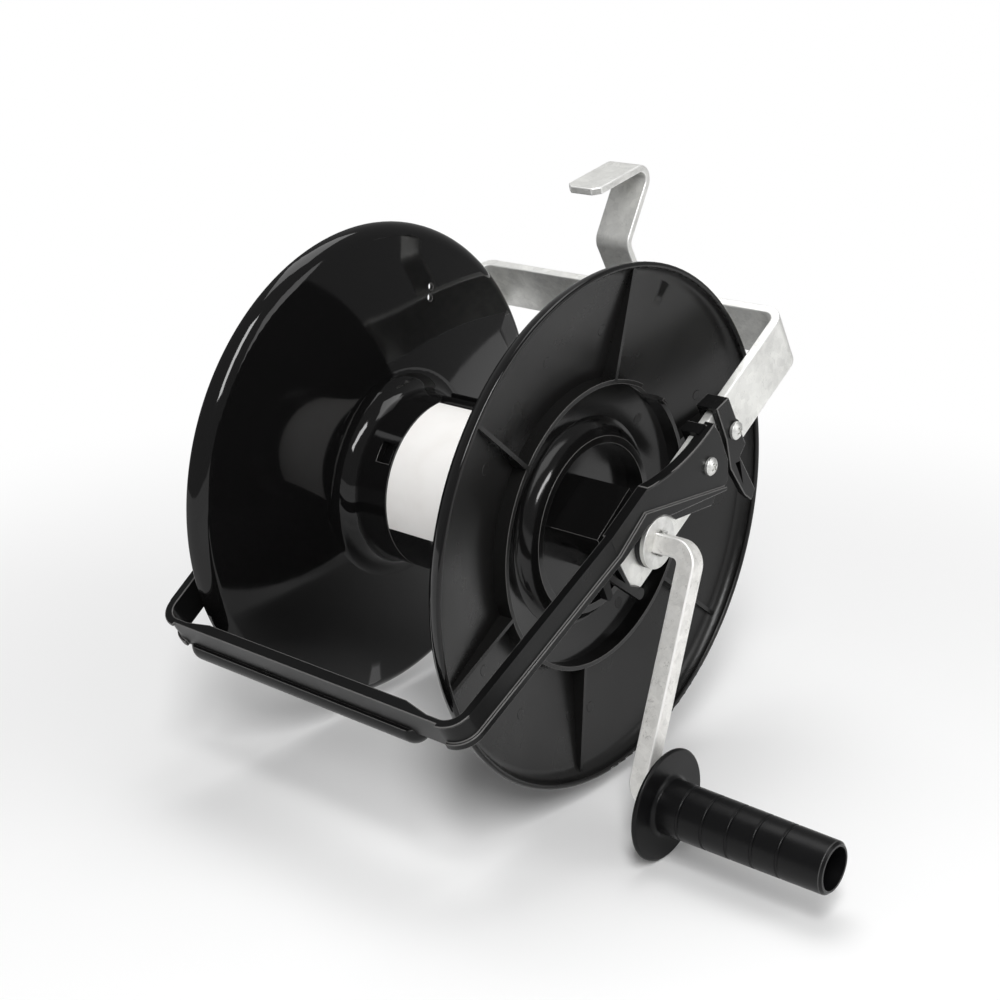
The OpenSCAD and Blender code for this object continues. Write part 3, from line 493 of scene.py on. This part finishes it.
first_rib, rib_step, mark_sunk = 82, 60, 0.0001
rib_marks, panel_marks, hub_marks = 0.101, 0.1025, 0.063
spots = [(rib_marks, first_rib + rib_step * rib + lead) for rib in range(6) for lead in (-3, 7)]
spots += [(panel_marks, first_rib + rib_step * panel + 32) for panel in (0, 2, 4)]
spots += [(hub_marks, degrees) for degrees in (45, 165, 300)]
places, facings = [], []
for side in (-1, 1):
    for radius, degrees in spots:
        out = Vector((0, math.cos(math.radians(degrees)), math.sin(math.radians(degrees))))
        height = web_foot + (radius - web_start) * math.tan(web_slope) + web_wall / math.cos(web_slope)
        normal = Vector((side * math.cos(web_slope), 0, 0)) - out * math.sin(web_slope)
        places.append(axle + out * radius + Vector((side * height, 0, 0)) - normal * mark_sunk)
        facings.append(normal)
mark_seeds = bpy.data.meshes.new("mark_seeds")
mark_seeds.from_pydata(places, [], [])
facing = mark_seeds.attributes.new("facing", "FLOAT_VECTOR", "POINT")
facing.data.foreach_set("vector", [c for f in facings for c in f])
grow("ejector_marks", mark_tree, mark_seeds, {"Mark radius": 0.0031}, "reel")


# Label: a bare film, stuck round the drum beside the right flange.
# It is a satin white plastic, a little warm, with faint creases along the drum where it was smoothed down.
label_film, tree, shader = new_finish("label_film", Roughness=0.38, IOR=1.45)
place = put(tree, "ShaderNodeTexCoord").outputs["Object"]
fibre = put(tree, "ShaderNodeTexNoise", {"Vector": place, "Scale": 55.0, "Detail": 5.0}).outputs["Fac"]
bare_white, warm_white = (0.92, 0.905, 0.885, 1), (0.88, 0.86, 0.835, 1)
tree.links.new(mixed(tree, ramp(tree, fibre, 0.35, 0.75), bare_white, warm_white), shader.inputs["Base Color"])
stretch = put(tree, "ShaderNodeMapping", {"Vector": place, "Scale": (18.0, 160.0, 160.0)}).outputs[0]
crease = put(tree, "ShaderNodeTexNoise", {"Vector": stretch, "Scale": 1.0, "Detail": 2.0}).outputs["Fac"]
bump = put(tree, "ShaderNodeBump", {"Height": crease, "Strength": 0.15, "Distance": 0.0006})
tree.links.new(bump.outputs[0], shader.inputs["Normal"])
dress("drum_label", "bare_drum_label", label_film, "label_film", edge_radius=0.0, sharp=24, centre=axle)


# Axle: a galvanised square bar, bent to the crank's arm, with its end turned round for the grip.
# Black spacers and bushes sit on the square, and zinc washers and spring pins hold it between the legs.
crank_zinc = zinc_finish("crank_bar_zinc", pale=(0.9, 0.89, 0.86, 1), dull=(0.74, 0.73, 0.7, 1),
                         scratch=(0.4, 0.39, 0.37, 1), cloud_size=120.0, scuffs=0.9,
                         edge=(0.94, 0.93, 0.91, 1), relief=0.0004, metal=0.45)
dress("crank_bar", "bent_crank_bar", crank_zinc, "crank_steel", edge_radius=0.0009)
zinc_plate = zinc_finish("bright_zinc_plate", pale=(0.8, 0.8, 0.78, 1), dull=(0.62, 0.62, 0.6, 1),
                         scratch=(0.5, 0.5, 0.49, 1), cloud_size=150.0, scuffs=0.35,
                         edge=(0.88, 0.88, 0.86, 1), relief=0.0001, metal=0.85)
spring_steel = zinc_finish("plain_spring_steel", pale=(0.45, 0.45, 0.44, 1), dull=(0.3, 0.3, 0.29, 1),
                           scratch=(0.22, 0.22, 0.21, 1), cloud_size=180.0, scuffs=0.3,
                           edge=(0.55, 0.55, 0.54, 1), relief=0.0001, metal=0.9)
bush_black = moulded_finish("bush_moulding", black=(0.014, 0.014, 0.015, 1), edge=(0.03, 0.03, 0.03, 1),
                            smooth=0.42, rough=0.52, grain_size=1500.0, relief=0.0001)
for node, name, finish, slot in (
        ("axle_spacers", "axle_spacer_pair", bush_black, "bush_plastic"),
        ("axle_bush_right", "flanged_bush_right", bush_black, "bush_plastic"),
        ("axle_bush_left", "flanged_bush_left", bush_black, "bush_plastic"),
        ("axle_washers", "axle_washer_pair", zinc_plate, "zinc_hardware"),
        ("spring_pins", "spring_pin_pair", spring_steel, "spring_steel")):
    dress(node, name, finish, slot, edge_radius=0.0003)


# Crank grip: a hollow moulded sleeve with a guard, free to turn on the bar's round end.
# A push-on washer inside its open end keeps it there.
grip_black = moulded_finish("grip_moulding", black=(0.004, 0.004, 0.0043, 1), edge=(0.05, 0.05, 0.05, 1),
                            smooth=0.3, rough=0.4, grain_size=1500.0, relief=0.00015, dusty=0.015)
grip_axis = Vector(next(j["pos_m"] for j in frame["joints"] if j["name"] == "grip_spin"))
dress("crank_grip", "turning_grip", grip_black, "grip_plastic", edge_radius=0.0003, sharp=30, centre=grip_axis)
dress("grip_retainer", "push_on_washer", spring_steel, "spring_steel", edge_radius=0.0002)


# Carrying handle: one black moulding, with a finger swell along its crossbar, screwed to both legs.
# Its edges are slightly round and catch the light, and their paler colour is a painted highlight.
# The edge colour, far paler than the black, is a painted highlight on the rounded edges.
handle_black = moulded_finish("handle_moulding", black=(0.005, 0.005, 0.0051, 1), edge=(0.12, 0.118, 0.116, 1),
                              smooth=0.27, rough=0.36, grain_size=1300.0, relief=0.00012, dusty=0.015)
dress("handle", "carrying_handle", handle_black, "handle_plastic", edge_radius=0.0005)
dress("finger_grip", "finger_swell", handle_black, "grip_plastic", edge_radius=0.0002)


# Lock lever: a black moulding like the handle, which straddles the right leg and swings on a sleeve.
# It has the handle's finish and rounded edges; its pivot parts are with the hardware.
dress("lock_lever", "locking_lever", handle_black, "handle_plastic", edge_radius=0.0005)


# Hardware: pan-head screws with lock nuts for the handle, and a sleeve, screw and nut for the lever's pivot.
# They are bought-in steel parts, bright zinc plated, and put in last.
for node, name in (("handle_screws", "pan_head_screws"), ("handle_nuts", "lock_nut_pair"),
                   ("lock_sleeve", "lever_sleeve"), ("lock_screw", "lever_screw"), ("lock_nut", "lever_nut")):
    dress(node, name, zinc_plate, "zinc_hardware", edge_radius=0.0002)


# Studio: a pale paper floor under the part that fades to white, soft lamps overhead and at the sides,
# and the camera where the photograph was taken.
floor_size, fade_start, fade_end = 2.8, 0.2, 0.72
bpy.ops.mesh.primitive_grid_add(x_subdivisions=8, y_subdivisions=8, size=floor_size,
                                location=(0.05, -0.08, cad_low.z))
floor = bpy.context.object
floor.name = "pale_floor"
paper, tree, shader = new_finish("floor_paper", Base_Color=(0.9, 0.9, 0.9, 1), Roughness=0.9,
                                 Specular_IOR_Level=0.0)
place = put(tree, "ShaderNodeTexCoord").outputs["Object"]
reach = put(tree, "ShaderNodeVectorMath", {0: place}, operation="LENGTH")
path = put(tree, "ShaderNodeLightPath")
seen = calc(tree, "MAXIMUM", path.outputs["Is Camera Ray"], path.outputs["Is Glossy Ray"])
seen = calc(tree, "MAXIMUM", seen, path.outputs["Is Transmission Ray"])
fade = calc(tree, "MULTIPLY", ramp(tree, reach.outputs["Value"], fade_start, fade_end), seen)
white = put(tree, "ShaderNodeEmission", {"Color": (1, 1, 1, 1), "Strength": 1.0})
sheet = put(tree, "ShaderNodeMixShader", {0: fade, 1: shader.outputs[0], 2: white.outputs[0]})
tree.links.new(sheet.outputs[0], tree.nodes["Material Output"].inputs["Surface"])
floor.data.materials.append(paper)

world = bpy.data.worlds.new("studio")
bpy.context.scene.world = world
world.use_nodes = True
sky = world.node_tree
path = put(sky, "ShaderNodeLightPath")
fill_light, backdrop = 0.28, 1.0
shown = calc(sky, "MAXIMUM", path.outputs["Is Camera Ray"], path.outputs["Is Transmission Ray"])
level = put(sky, "ShaderNodeMapRange", {0: shown, 3: fill_light, 4: backdrop})
sky.links.new(level.outputs[0], sky.nodes["Background"].inputs["Strength"])
sky.nodes["Background"].inputs["Color"].default_value = (1, 1, 1, 1)


def softbox(name, place, aim, width, height, watts):
    """A rectangular lamp at a place, turned to what it lights."""
    lamp = bpy.data.lights.new(name, "AREA")
    lamp.shape, lamp.size, lamp.size_y, lamp.energy = "RECTANGLE", width, height, watts
    box = bpy.data.objects.new(name, lamp)
    bpy.context.scene.collection.objects.link(box)
    box.location = place
    box.rotation_euler = (Vector(aim) - Vector(place)).to_track_quat("-Z", "Y").to_euler()


middle = (cad_low + cad_high) / 2
softbox("key_lamp", (0.78, -0.98, 1.0), middle, width=0.34, height=1.0, watts=18)
softbox("overhead_lamp", (-0.2, 0.15, 1.3), middle, width=1.0, height=0.9, watts=9)
softbox("right_lamp", (1.5, 0.3, 0.4), middle, width=0.8, height=1.0, watts=6)

camera = bpy.data.objects.new("photo_camera", bpy.data.cameras.new("photo_camera"))
bpy.context.scene.collection.objects.link(camera)
azimuth, elevation = 39.63, 19.46
camera.location = (0.56538, -0.769956, 0.154423)
camera.rotation_euler = (math.radians(90 - elevation), 0, math.radians(azimuth))
camera.data.lens, camera.data.sensor_width = 63.115, 36
bpy.context.scene.camera = camera
bpy.context.scene.view_settings.view_transform = "Standard"
